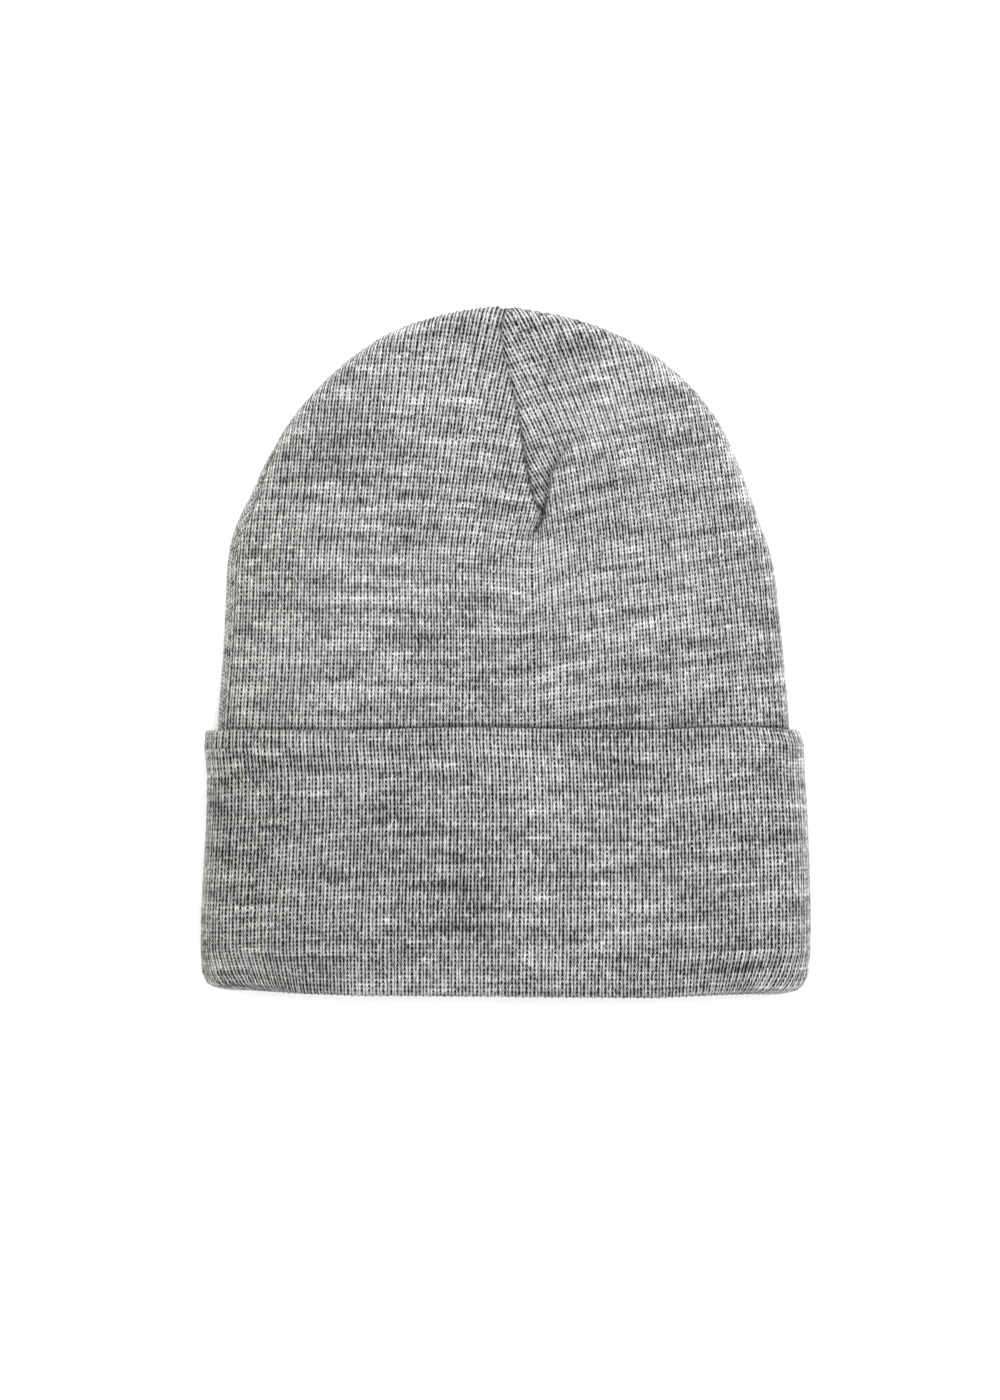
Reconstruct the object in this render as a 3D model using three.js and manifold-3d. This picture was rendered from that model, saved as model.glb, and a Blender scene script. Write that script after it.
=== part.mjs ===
import * as THREE from 'three';
import { mergeVertices } from 'three/addons/utils/BufferGeometryUtils.js';
import Module from 'manifold-3d';

// A rib-knit cap with a turned-up cuff, lying flat on its back.
// Millimetres. X runs across, Y from the cuff's bottom turn up to the tip, Z up from the floor.
// "up" is the height above the bottom turn, and "across" is measured from the middle of the cuff.

const wasm = await Module();
wasm.setup();

// Driving dimensions
const capLength = 228.5;
const knitWall = 2.6;
const plyGap = 0.3;
const bottomTurnRadius = knitWall + plyGap / 2;
const hemHeight = 6;
const crownBase = 145;
const handSpace = 6;
const cuffEdgeHeight = 89.2;

// The stack of plies inside the cuff, from the floor up: cuff, body, hollow, body, cuff
const stackHeight = 4 * knitWall + 2 * plyGap + handSpace;
const stackMiddle = stackHeight / 2;
const foldRadius = handSpace / 2 + knitWall;
const cuffInnerRadius = foldRadius + plyGap;

// Past the cuff the body drops to the floor, and its crown stands a little fuller than its folds
const dropStart = 88;
const dropEnd = 122;
const crownPuff = 3.6;
const puffReach = 18;

// Half widths of the body below the crown
const bodySides = [
  { up: -12, left: 95.2, right: 95.2 },
  { up: hemHeight, left: 95.2, right: 95.2 },
  { up: 50, left: 94.9, right: 94.6 },
  { up: 89, left: 94.4, right: 93.4 },
  { up: 112, left: 92.9, right: 91.8 },
  { up: 128, left: 92.1, right: 90.2 },
  { up: crownBase, left: 91.2, right: 87.9 },
];

// The dome's outline on each side, from the crown's base to the tip
const domeLeft = [
  { across: -91.2, up: crownBase },
  { across: -89.4, up: 154 },
  { across: -83.7, up: 166.5 },
  { across: -77.2, up: 180 },
  { across: -68.2, up: 194.5 },
  { across: -54.5, up: 208.7 },
  { across: -39.5, up: 219.4 },
  { across: -21, up: 226 },
  { across: 0, up: capLength },
];
const domeRight = [
  { across: 87.9, up: crownBase },
  { across: 83.7, up: 157.5 },
  { across: 77, up: 176.4 },
  { across: 69.2, up: 192 },
  { across: 57.2, up: 206.1 },
  { across: 41.5, up: 217.3 },
  { across: 21.5, up: 225.2 },
  { across: 0, up: capLength },
];

// The front dart's seam from its lower end to the tip, leaning left as it rises
const dartFoot = { across: 9.4, up: crownBase };
const frontDart = [
  { across: 9, up: 163.5 },
  { across: 6.8, up: 176 },
  { across: 5.2, up: 192 },
  { across: 1.2, up: 207.5 },
  { across: -1.1, up: 217 },
  { across: 0, up: capLength - foldRadius },
];
const dartDepth = 1.3;
const dartWidth = 1.9;
const dartFade = 3;
const pucker = { across: 15.2, up: 162.5, height: 1.1, reach: 11 };

// The fold that the dart's lower end throws into the right-hand gore
const tuck = { fromAcross: 19.5, fromUp: 180, toAcross: 9.7, toUp: 154, depth: 1.7, width: 2.4 };

// Half widths of the cuff's outer face, narrowing at its rounded corners
const cuffSides = [
  { up: 0, left: 93.4, right: 93.9 },
  { up: 1.6, left: 96.9, right: 97.1 },
  { up: 4.2, left: 99.2, right: 99.3 },
  { up: 8.2, left: 100.5, right: 100.4 },
  { up: 16, left: 100.8, right: 100.8 },
  { up: 28, left: 100.7, right: 100.8 },
  { up: 44, left: 99.8, right: 100.4 },
  { up: 60, left: 98.9, right: 99.7 },
  { up: 74, left: 98.7, right: 98.9 },
  { up: 84, left: 99.6, right: 98.9 },
  { up: cuffEdgeHeight, left: 98.3, right: 97.6 },
];

// Heights of the cuff's finished edge and of its bottom turn, which wander a little across the front
const cuffEdge = [
  { across: -101, edge: 87.9, turn: 1.3 },
  { across: -85, edge: 88.9, turn: 1.1 },
  { across: -50, edge: 88.9, turn: 0.2 },
  { across: -11, edge: 89.9, turn: 0.5 },
  { across: 23, edge: 89.1, turn: 0 },
  { across: 50, edge: 88.9, turn: 0.2 },
  { across: 68, edge: 89.8, turn: 1.2 },
  { across: 101, edge: 90.1, turn: 1.5 },
];

// Where the wander of the edge and of the turn begins and ends up the cuff
const edgeWander = { from: 36, to: 80 };
const turnWander = { from: 0, to: hemHeight };

// Mesh fineness
const seamSteps = 24;
const domeSteps = 30;
const bodyRows = 16;
const crownRows = 16;
const mouthOverrun = 14;
const outerColumns = { fold: 4, flat: 8 };
const innerColumns = { fold: 3, flat: 5 };
const columnCrowding = 1.7;
const cuffStations = { front: 20, side: 6 };
const smallestSide = 1e-4;

const smooth = (low, high, value) => THREE.MathUtils.smoothstep(value, low, high);
const bell = (distance, width) => Math.exp(-((distance / width) ** 2));

// Reads one column of a table by another, with straight runs between its rows
function readTable(table, key, value, column) {
  const next = table.findIndex((row) => row[key] >= value);
  if (next === 0) return table[0][column];
  if (next < 0) return table[table.length - 1][column];
  const a = table[next - 1];
  const b = table[next];
  const share = (value - a[key]) / (b[key] - a[key]);
  return THREE.MathUtils.lerp(a[column], b[column], share);
}

// A smooth curve through a table of across and up, in the XY plane
function planCurve(table) {
  const points = table.map((row) => new THREE.Vector3(row.across, row.up, 0));
  return new THREE.CatmullRomCurve3(points);
}

const leftCurve = planCurve(domeLeft);
const rightCurve = planCurve(domeRight);
const seamCurve = planCurve([dartFoot, ...frontDart]);
const seamLine = planCurve(frontDart).getSpacedPoints(seamSteps);
const tuckLine = [
  new THREE.Vector3(tuck.fromAcross, tuck.fromUp, 0),
  new THREE.Vector3(tuck.toAcross, tuck.toUp, 0),
];
const outline = [
  ...bodySides.map((row) => new THREE.Vector3(-row.left, row.up, 0)),
  ...leftCurve.getSpacedPoints(domeSteps),
  ...rightCurve.getSpacedPoints(domeSteps).reverse(),
  ...bodySides.map((row) => new THREE.Vector3(row.right, row.up, 0)).reverse(),
];

// Distance in plan from a point to a line of points
function distanceToLine(x, y, line) {
  const point = new THREE.Vector3(x, y, 0);
  const nearest = new THREE.Vector3();
  const piece = new THREE.Line3();
  let best = Infinity;
  for (let i = 0; i + 1 < line.length; i += 1) {
    piece.set(line[i], line[i + 1]);
    piece.closestPointToPoint(point, true, nearest);
    best = Math.min(best, nearest.distanceTo(point));
  }
  return best;
}

// Height of the side folds' middle above the floor
function foldMiddle(up) {
  return THREE.MathUtils.lerp(stackMiddle, foldRadius, smooth(dropStart, dropEnd, up));
}

// How far a point lies in from the end of the rounded fold, 0 on the fold itself
function fromFold(x, up) {
  return Math.max(distanceToLine(x, up, outline) - foldRadius, 0);
}

function dartDip(x, up) {
  const shallower = 1 - bell(fromFold(x, up), dartFade);
  return dartDepth * bell(distanceToLine(x, up, seamLine), dartWidth) * shallower;
}

// The front ply stands a little fuller in the crown, dips along the dart and puckers at its end
function frontRelief(x, up) {
  const puffed = smooth(dropStart, dropEnd, up) * crownPuff * (1 - Math.exp(-fromFold(x, up) / puffReach));
  const puckered = pucker.height * bell(Math.hypot(x - pucker.across, up - pucker.up), pucker.reach);
  const tucked = tuck.depth * bell(distanceToLine(x, up, tuckLine), tuck.width);
  return puffed - dartDip(x, up) + puckered - tucked;
}

// The back ply lies on the floor and only dips along its own dart, the mirror image of the front's
function backRelief(x, up) {
  return dartDip(-x, up);
}

// Rows of the pillow from the hem to the tip: the ends on the two folds, and the middle on the front dart
function planRows(lowest) {
  const rows = [];
  for (let i = 0; i < bodyRows; i += 1) {
    const up = i === 0 ? lowest : THREE.MathUtils.lerp(hemHeight, crownBase, i / bodyRows);
    rows.push({
      left: new THREE.Vector3(-readTable(bodySides, 'up', up, 'left'), up, 0),
      right: new THREE.Vector3(readTable(bodySides, 'up', up, 'right'), up, 0),
      middle: new THREE.Vector3(dartFoot.across, up, 0),
    });
  }
  for (let i = 0; i <= crownRows; i += 1) {
    const share = i / crownRows;
    rows.push({
      left: leftCurve.getPointAt(share),
      right: rightCurve.getPointAt(share),
      middle: seamCurve.getPointAt(share),
    });
  }
  return rows;
}

// Directions into the cloth, square to the outline, one for each row of one side
function inwardNormals(rows, side) {
  const sign = side === 'left' ? 1 : -1;
  return rows.map((row, i) => {
    if (i === rows.length - 1) return new THREE.Vector3(0, -1, 0);
    const before = rows[Math.max(i - 1, 0)][side];
    const after = rows[i + 1][side];
    const along = after.clone().sub(before).normalize();
    return new THREE.Vector3(sign * along.y, -sign * along.x, 0);
  });
}

// Points of one half row, from the fold's outermost line to the middle, on the front or the back ply
function halfRow(row, side, normal, face, inset, columns) {
  const points = [];
  const height = foldMiddle(row[side].y);
  const relief = face > 0 ? frontRelief : backRelief;
  const middle = new THREE.Vector3(face * row.middle.x, row.middle.y, 0);
  for (let i = 0; i <= columns.fold; i += 1) {
    const turn = (Math.PI / 2) * (i / columns.fold);
    const inward = foldRadius - (foldRadius - inset) * Math.cos(turn);
    const place = row[side].clone().addScaledVector(normal, inward);
    place.z = height + face * (foldRadius - inset) * Math.sin(turn);
    points.push(place);
  }
  const foldEnd = row[side].clone().addScaledVector(normal, foldRadius);
  for (let i = 1; i <= columns.flat; i += 1) {
    const share = 1 - (1 - i / columns.flat) ** columnCrowding;
    const place = foldEnd.clone().lerp(middle, share);
    place.z = foldMiddle(place.y) + face * (foldRadius - inset) + relief(place.x, place.y);
    points.push(place);
  }
  return points;
}

function pushTriangle(list, a, b, c) {
  list.push(a.x, a.y, a.z, b.x, b.y, b.z, c.x, c.y, c.z);
}

function pushQuad(list, a, b, c, d) {
  pushTriangle(list, a, b, c);
  pushTriangle(list, a, c, d);
}

// A closed solid from loose triangles whose corners meet
function solidFrom(list) {
  const loose = new THREE.BufferGeometry();
  loose.setAttribute('position', new THREE.Float32BufferAttribute(list, 3));
  const merged = mergeVertices(loose, smallestSide);
  const index = merged.getIndex().array;
  const kept = [];
  for (let i = 0; i < index.length; i += 3) {
    const [a, b, c] = [index[i], index[i + 1], index[i + 2]];
    if (a !== b && b !== c && c !== a) kept.push(a, b, c);
  }
  const vertProperties = new Float32Array(merged.getAttribute('position').array);
  return new wasm.Manifold(new wasm.Mesh({
    numProp: 3,
    vertProperties,
    triVerts: new Uint32Array(kept),
  }));
}

// The flattened tube with its dome as one solid, drawn in by "inset" all over
function pillow(inset, lowest, columns) {
  const rows = planRows(lowest);
  const list = [];
  const rims = {};
  for (const side of ['left', 'right']) {
    const normals = inwardNormals(rows, side);
    for (const face of [1, -1]) {
      const grid = rows.map((row, i) => halfRow(row, side, normals[i], face, inset, columns));
      const outward = (side === 'left' ? 1 : -1) * face;
      rims[`${side}${face}`] = grid[0];
      for (let i = 0; i + 1 < grid.length; i += 1) {
        for (let j = 0; j + 1 < grid[i].length; j += 1) {
          const corners = [grid[i][j], grid[i][j + 1], grid[i + 1][j + 1], grid[i + 1][j]];
          if (outward < 0) corners.reverse();
          pushQuad(list, ...corners);
        }
      }
    }
    const front = rims[`${side}1`];
    const back = rims[`${side}-1`];
    for (let j = 0; j + 1 < front.length; j += 1) {
      const corners = [front[j], back[j], back[j + 1], front[j + 1]];
      if (side === 'right') corners.reverse();
      pushQuad(list, ...corners);
    }
  }
  return solidFrom(list);
}

function crownBody() {
  const outside = pillow(0, hemHeight + plyGap, outerColumns);
  const inside = pillow(knitWall, hemHeight - mouthOverrun, innerColumns);
  return outside.subtract(inside);
}

// The cuff's section, up and out from its inner face: bottom turn, seat of the body's hem, inner face,
// rounded edge and outer face
function cuffSection() {
  const section = [];
  const turnMiddle = -plyGap / 2;
  const turnSteps = 6;
  for (let i = 0; i <= turnSteps; i += 1) {
    const turn = (Math.PI * i) / turnSteps;
    section.push({
      out: turnMiddle + bottomTurnRadius * Math.cos(turn),
      up: bottomTurnRadius * (1 - Math.sin(turn)),
    });
  }
  section.push({ out: -knitWall - plyGap, up: hemHeight });
  section.push({ out: 0, up: hemHeight });
  for (const up of [20, 36, 52, 68, 80]) section.push({ out: 0, up });
  const edgeSteps = 4;
  for (let i = 0; i <= edgeSteps; i += 1) {
    const turn = Math.PI * (1 - i / edgeSteps);
    section.push({
      out: (knitWall / 2) * (1 + Math.cos(turn)),
      up: cuffEdgeHeight - (knitWall / 2) * (1 - Math.sin(turn)),
    });
  }
  for (const up of [80, 68, 52, 36, 24, 14, 8]) section.push({ out: knitWall, up });
  return section;
}

// Places a point of the section on the flattened ring, at one station round it
function cuffPoint(station, { out, up }) {
  const left = readTable(cuffSides, 'up', up, 'left') - knitWall - cuffInnerRadius;
  const right = readTable(cuffSides, 'up', up, 'right') - knitWall - cuffInnerRadius;
  const radius = cuffInnerRadius + out;
  const centre = THREE.MathUtils.lerp(-left, right, station.share);
  const x = centre + radius * Math.cos(station.turn);
  const edgeShare = smooth(edgeWander.from, edgeWander.to, up);
  const turnShare = 1 - smooth(turnWander.from, turnWander.to, up);
  const edgeShift = (readTable(cuffEdge, 'across', x, 'edge') - cuffEdgeHeight) * edgeShare;
  const turnShift = readTable(cuffEdge, 'across', x, 'turn') * turnShare;
  return new THREE.Vector3(x, up + edgeShift + turnShift, stackMiddle + radius * Math.sin(station.turn));
}

// Stations round the ring, anticlockwise from above seen along +Y: right fold, front, left fold, back
function ringStations() {
  const stations = [];
  const { front, side } = cuffStations;
  for (let i = 0; i < side; i += 1) {
    stations.push({ share: 1, turn: Math.PI * (i / side - 0.5) });
  }
  for (let i = 0; i < front; i += 1) {
    stations.push({ share: 1 - i / front, turn: Math.PI / 2 });
  }
  for (let i = 0; i < side; i += 1) {
    stations.push({ share: 0, turn: Math.PI * (i / side + 0.5) });
  }
  for (let i = 0; i < front; i += 1) {
    stations.push({ share: i / front, turn: 1.5 * Math.PI });
  }
  return stations;
}

function cuffBand() {
  const section = cuffSection();
  const rings = ringStations().map((station) => section.map((spot) => cuffPoint(station, spot)));
  const list = [];
  for (let i = 0; i < rings.length; i += 1) {
    const here = rings[i];
    const next = rings[(i + 1) % rings.length];
    for (let j = 0; j < section.length; j += 1) {
      const k = (j + 1) % section.length;
      pushQuad(list, here[j], next[j], next[k], here[k]);
    }
  }
  return solidFrom(list);
}

// A named mesh from a solid, with the knit's colour
function knitMesh(name, solid) {
  const { numProp, vertProperties, triVerts } = solid.getMesh();
  const geometry = new THREE.BufferGeometry();
  const corners = new Float32Array((vertProperties.length / numProp) * 3);
  for (let i = 0; i < corners.length / 3; i += 1) {
    for (let axis = 0; axis < 3; axis += 1) corners[3 * i + axis] = vertProperties[numProp * i + axis];
  }
  geometry.setAttribute('position', new THREE.BufferAttribute(corners, 3));
  geometry.setIndex(new THREE.BufferAttribute(new Uint32Array(triVerts), 1));
  geometry.computeVertexNormals();
  const material = new THREE.MeshStandardMaterial({ color: 0x9c9c9b, roughness: 0.95, metalness: 0 });
  const mesh = new THREE.Mesh(geometry, material);
  mesh.name = name;
  return mesh;
}

const cap = new THREE.Group();
cap.add(knitMesh('crown_body', crownBody()));
cap.add(knitMesh('cuff', cuffBand()));

// The origin is at the bottom centre of the box round the cap
const box = new THREE.Box3().setFromObject(cap);
const middle = box.getCenter(new THREE.Vector3());
cap.position.set(-middle.x, -middle.y, -box.min.z);

export default cap;
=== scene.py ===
import math
import bpy
import numpy as np
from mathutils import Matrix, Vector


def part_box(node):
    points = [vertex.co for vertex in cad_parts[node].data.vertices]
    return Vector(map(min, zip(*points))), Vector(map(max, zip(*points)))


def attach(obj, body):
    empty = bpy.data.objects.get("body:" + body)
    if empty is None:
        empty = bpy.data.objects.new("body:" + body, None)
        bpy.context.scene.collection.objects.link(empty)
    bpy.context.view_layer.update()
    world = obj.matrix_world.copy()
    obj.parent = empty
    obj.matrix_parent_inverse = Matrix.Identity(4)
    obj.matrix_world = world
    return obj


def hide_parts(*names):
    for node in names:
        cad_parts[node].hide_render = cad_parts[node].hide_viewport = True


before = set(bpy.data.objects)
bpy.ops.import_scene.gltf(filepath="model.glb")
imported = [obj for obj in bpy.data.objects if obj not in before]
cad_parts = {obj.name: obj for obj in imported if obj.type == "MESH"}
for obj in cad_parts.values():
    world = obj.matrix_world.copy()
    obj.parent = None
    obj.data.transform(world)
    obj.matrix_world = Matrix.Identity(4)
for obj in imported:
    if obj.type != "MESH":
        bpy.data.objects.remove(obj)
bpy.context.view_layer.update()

# A rib-knit cap lying flat on its back. Sizes here are in millimetres, and the meshes are in metres.
# "across" runs left to right, "up" from the cuff's bottom turn to the tip, and z up from the floor.
# A pair of values named Rise or Fall says between which places something sets in or fades.

mm = 0.001
cuffLow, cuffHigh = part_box("cuff")
bottomY = cuffLow.y / mm
stackMiddle = cuffHigh.z / mm / 2
farOff = 99.0
unbounded = 1e3


def smoothStep(low, high, value):
    share = np.clip((value - low) / (high - low), 0, 1)
    return share * share * (3 - 2 * share)


def window(value, rise, fall):
    return smoothStep(*rise, value) * (1 - smoothStep(*fall, value))


def bell(distance, width):
    return np.exp(-((distance / width) ** 2))


def mixed(a, b, share):
    return a + (b - a) * share


def curveThrough(points, spacing=1.5, steps=40):
    # a smooth curve through a few points, whose speed follows the root of their distances
    points = np.array(points, float)
    padded = np.vstack([2 * points[0] - points[1], points, 2 * points[-1] - points[-2]])
    found = []
    for a, b, c, d in zip(padded, padded[1:], padded[2:], padded[3:]):
        before, here, after = (np.linalg.norm(q - p) ** 0.5 for p, q in ((a, b), (b, c), (c, d)))
        leave = ((b - a) / before - (c - a) / (before + here) + (c - b) / here) * here
        arrive = ((c - b) / here - (d - b) / (here + after) + (d - c) / after) * here
        t = np.linspace(0, 1, steps, endpoint=False)[:, None]
        found.append(
            b * (2 * t**3 - 3 * t**2 + 1) + leave * (t**3 - 2 * t**2 + t)
            + c * (3 * t**2 - 2 * t**3) + arrive * (t**3 - t**2)
        )
    dense = np.vstack(found + [points[-1:]])
    run = np.concatenate([[0], np.cumsum(np.linalg.norm(np.diff(dense, axis=0), axis=1))])
    even = np.linspace(0, run[-1], max(int(run[-1] / spacing), 2))
    return np.stack([np.interp(even, run, dense[:, k]) for k in range(2)], 1)


# The body, as two plies that roll over into each other at the sides

cap = {
    "wall": 2.6, "handSpace": 6.0, "hem": 6.3, "crownBase": 145.0,
    "dropRise": (88.0, 122.0), "puff": 3.6, "puffReach": 18.0,
    "twist": 6.0, "twistFall": (152.0, 200.0), "seamFrom": 141.0,
    "fullnessLeft": 0.5, "fullnessRight": 0.85, "slimTip": 36.0,
    "tipRise": (200.0, 215.0), "tipHeight": 1.1, "tipAcross": -4.0, "tipReach": 15.0,
    "nickDepth": 1.1, "nickAcross": 0.4, "nickReach": 1.1,
    # half widths of the body: height, left, right
    "sides": [
        (-12.0, 95.2, 95.2), (6.0, 95.2, 95.2), (50.0, 94.9, 94.6), (89.0, 94.4, 93.4),
        (112.0, 92.9, 91.8), (128.0, 92.1, 90.2),
    ],
    # the dome's two outlines: across, up
    "domeLeft": [
        (-91.2, 145.0), (-89.4, 154.0), (-83.7, 166.5), (-77.2, 180.0), (-68.2, 194.5),
        (-54.5, 208.7), (-39.5, 219.4), (-21.0, 226.0), (0.0, 228.5),
    ],
    "domeRight": [
        (87.9, 145.0), (83.7, 157.5), (77.0, 176.4), (69.2, 192.0), (57.2, 206.1),
        (41.5, 217.3), (21.5, 225.2), (0.0, 228.5),
    ],
}

# Each ply's dart, as across and up, the pucker at the front one's lower end and the side darts' seams
dart = {
    "seam": [
        (10.0, 153.3), (12.0, 158.0), (12.6, 160.9), (10.2, 163.2), (8.7, 168.0), (7.3, 174.7),
        (6.0, 182.7), (5.0, 189.6), (3.7, 196.8), (1.1, 207.4), (-0.9, 216.0), (-1.2, 221.0),
        (0.0, 226.0), (1.0, 232.0), (1.0, 260.0),
    ],
    "backSeam": [
        (3.0, 152.0), (3.0, 160.0), (2.6, 176.0), (1.6, 196.0), (0.4, 214.0), (0.6, 226.0),
        (1.0, 232.0), (1.0, 260.0),
    ],
    "spacing": 0.5, "joinReach": 7.0,
    "depth": 2.0, "leftWidth": 0.6, "rightWidth": 1.5, "softDepth": 0.45, "softWidth": 5.0,
    "footBelow": 2.5, "footAbove": 2.0, "lessAtFold": 0.4, "foldReach": 3.0,
    "lessAtTip": 0.45, "tipRise": (180.0, 200.0), "backShare": 0.35,
    "puckerAt": (15.2, 158.0), "puckerHeight": 1.1, "puckerReach": 11.0,
    "sideDepth": 0.35, "sideWidth": 0.9, "sideRise": (148.0, 156.0),
}

# The tuck beside the front dart's lower end, as across and up, with the lean and pitch of its wales
tuck = {
    "line": [
        (12.6, 160.9), (13.9, 163.5), (14.6, 168.0), (15.2, 173.0), (17.5, 177.2), (19.8, 180.7),
        (22.5, 184.0),
    ],
    "lean": 31.0, "leanTo": 172.0, "linesFrom": 100, "pitch": 2.4, "ribs": 12,
    "depth": 1.7, "leftWidth": 2.0, "rightWidth": 0.8, "lipHeight": 0.8, "lipReach": 2.4, "lipWidth": 1.8,
    "rise": (158.0, 163.0), "fall": (174.0, 185.0),
}

# How the wales lean towards the dart from its left and its right, in degrees, and how much more near it
waleLean = {
    "linesFrom": 118, "linesTo": 276.0, "taperFall": (126.0, 158.0), "divide": 6.0,
    "left": 4.5, "leftNear": 9.5, "leftReach": 26.0, "leftRise": (134.0, 156.0),
    "right": 7.5, "rightRise": (128.0, 165.0),
    "rightNear": 18.5, "rightReach": 37.0, "rightNearRise": (168.0, 192.0),
    "hook": 22.0, "hookReach": 6.0,
}

# How far the courses climb towards the cap's right-hand side, and how far they sag at the dart,
# each low on the body and in the crown
courses = {
    "climb": (6.0, 14.0), "climbRise": (70.0, 130.0), "climbFrom": 4.0,
    "sag": (0.6, 4.0), "sagRise": (115.0, 165.0), "sagReach": 15.0, "rise": (20.0, 70.0),
}

# Places across a rib run from 0 on its middle to 1 in the valley beside it
knit = {
    "ribs": 90, "bodyCourse": 1.40, "cuffCourse": 1.485, "legShear": 1.45, "legRise": (0.08, 0.92),
    "ribDepth": 0.4, "roundness": 2.6, "legDepth": 0.35, "legInValley": 0.4,
    "groove": 0.16, "grooveReach": 0.25, "holeDepth": 0.8, "holeReach": 0.35,
    "coarseTo": 72.0, "coarseStep": 10.0, "fineFrom": 74.0, "rowsTo": 240.0,
    "wobble": 0.13, "wobbleRows": 40, "unevenness": 0.14, "unevenRows": 3,
    "seamDepth": 0.3, "liningRib": 0.5,
}

foldRadius = cap["handSpace"] / 2 + cap["wall"]
quarterFold = math.pi * foldRadius / 2
leftEdge = curveThrough([(-left, up) for up, left, right in cap["sides"]] + cap["domeLeft"])
rightEdge = curveThrough([(right, up) for up, left, right in cap["sides"]] + cap["domeRight"])


class Ply:
    # one ply seen square on: the front from above, and the back from below, where the cap's right
    # side is on the left. Cloth is laid out in a flat plane and then rolled over the side folds.

    def __init__(self, front):
        self.front = front
        mirror = np.array([-1, 1])
        self.left, self.right = (leftEdge, rightEdge) if front else (rightEdge * mirror, leftEdge * mirror)
        edge = np.vstack([self.left, self.right[::-1][1:]])
        along = np.gradient(edge, axis=0)
        along /= np.linalg.norm(along, axis=1)[:, None]
        self.foldLine = edge - np.stack([-along[:, 1], along[:, 0]], 1) * foldRadius
        self.seam = curveThrough(dart["seam" if front else "backSeam"], dart["spacing"])
        self.endAcross, self.endUp = self.seam[0]
        self.heights = np.arange(0.0, waleLean["linesTo"], 1.0)
        traced = self.waleLines(-1)[int(self.endUp)]
        self.dartWale = int(np.argmin(abs(traced - self.endAcross)))
        shift = traced[self.dartWale] - self.endAcross
        nearEnd = 1 - smoothStep(self.endUp, self.endUp + dart["joinReach"], self.seam[:, 1])
        self.seam[:, 0] += shift * nearEnd
        self.lines = {side: self.waleLines(side) for side in (-1, 1)}
        if front:
            self.layTuck()

    def layTuck(self):
        # the cloth between the dart and the tuck has lines of its own; the tuck hides the rest
        self.tuck = curveThrough(tuck["line"], dart["spacing"])
        endAcross, endUp = tuck["line"][-1]
        top = int(endUp)
        main = self.lines[1]
        wale = self.tuckWale = int(np.argmin(abs(main[top] - endAcross)))
        shift = main[top, wale] - endAcross
        self.tuck[:, 0] += shift * np.linspace(0, 1, len(self.tuck)) ** 2
        lines = main.copy()
        lines[top, :wale] = main[top, wale] - (wale - np.arange(wale)) * tuck["pitch"]
        for k in range(top, len(lines) - 1):
            lines[k + 1, :wale] = lines[k, :wale] + self.lean(lines[k, :wale], self.heights[k], 1)
        for k in range(top, tuck["linesFrom"], -1):
            field = -np.degrees(np.arctan(self.lean(lines[k, :wale + 1], top, 1)))
            tilt = mixed(tuck["lean"], field, smoothStep(tuck["leanTo"], top, k))
            lines[k - 1, :wale + 1] = lines[k, :wale + 1] + np.tan(np.radians(tilt))
        self.lines["tuck"] = lines

    def tuckAcross(self, up):
        return np.interp(up, self.tuck[:, 1], self.tuck[:, 0])

    def bounds(self, part, up):
        # between which places across a part of this ply shows at each height
        seam = np.where(up > self.endUp, self.seamAcross(up), np.nan)
        if part == -1:
            return np.full(len(up), -unbounded), np.nan_to_num(seam, nan=unbounded)
        low = np.nan_to_num(seam, nan=-unbounded)
        high = np.full(len(up), unbounded)
        if self.front:
            foot, top = self.tuck[0, 1], self.tuck[-1, 1]
            if part == "tuck":
                low = np.where(up < foot, unbounded, low)
                return low, np.where(up < top, self.tuckAcross(up), high)
            edge = np.interp(up, self.heights, self.lines[1][:, self.tuckWale])
            low = np.where(up > foot, np.where(up < top, self.tuckAcross(up), np.maximum(edge, low)), low)
        return low, high

    def edges(self, up):
        # where the flat plane ends on each side: past the middle of the fold by the twist
        over = quarterFold - foldRadius
        up = np.minimum(up, cap["crownBase"])
        left = np.interp(up, self.left[:, 1], self.left[:, 0]) - over + cap["twist"]
        right = np.interp(up, self.right[:, 1], self.right[:, 0]) + over + cap["twist"]
        return left, right

    def seamAcross(self, up):
        return np.interp(up, self.seam[:, 1], self.seam[:, 0])

    def lean(self, across, up, side):
        # slope of the wales at one height: the body's taper, then each gore's lean towards its dart
        left, right = self.edges(up)
        nextLeft, nextRight = self.edges(up + 1)
        taper = mixed(nextLeft - left, nextRight - right, (across - left) / (right - left))
        fromSeam = np.abs(across - (self.seamAcross(up) if up > self.endUp else self.endAcross))
        leftLean = waleLean["left"] + waleLean["leftNear"] * np.exp(-fromSeam / waleLean["leftReach"])
        leftLean = leftLean * smoothStep(*waleLean["leftRise"], up)
        nearRight = waleLean["rightNear"] * bell(fromSeam, waleLean["rightReach"])
        nearRight = nearRight * smoothStep(*waleLean["rightNearRise"], up)
        rightLean = waleLean["right"] * smoothStep(*waleLean["rightRise"], up) + nearRight
        if self.front and self.endUp < up < tuck["line"][0][1]:
            leftLean = np.maximum(leftLean, waleLean["hook"] * bell(fromSeam, waleLean["hookReach"]))
        if up > self.endUp:
            onRight = 1.0 if side > 0 else 0.0
        else:
            divide = waleLean["divide"]
            onRight = smoothStep(self.endAcross - divide, self.endAcross + divide, across)
        tilt = mixed(leftLean, -rightLean, onRight)
        return taper * (1 - smoothStep(*waleLean["taperFall"], up)) + np.tan(np.radians(tilt))

    def waleLines(self, side):
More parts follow.
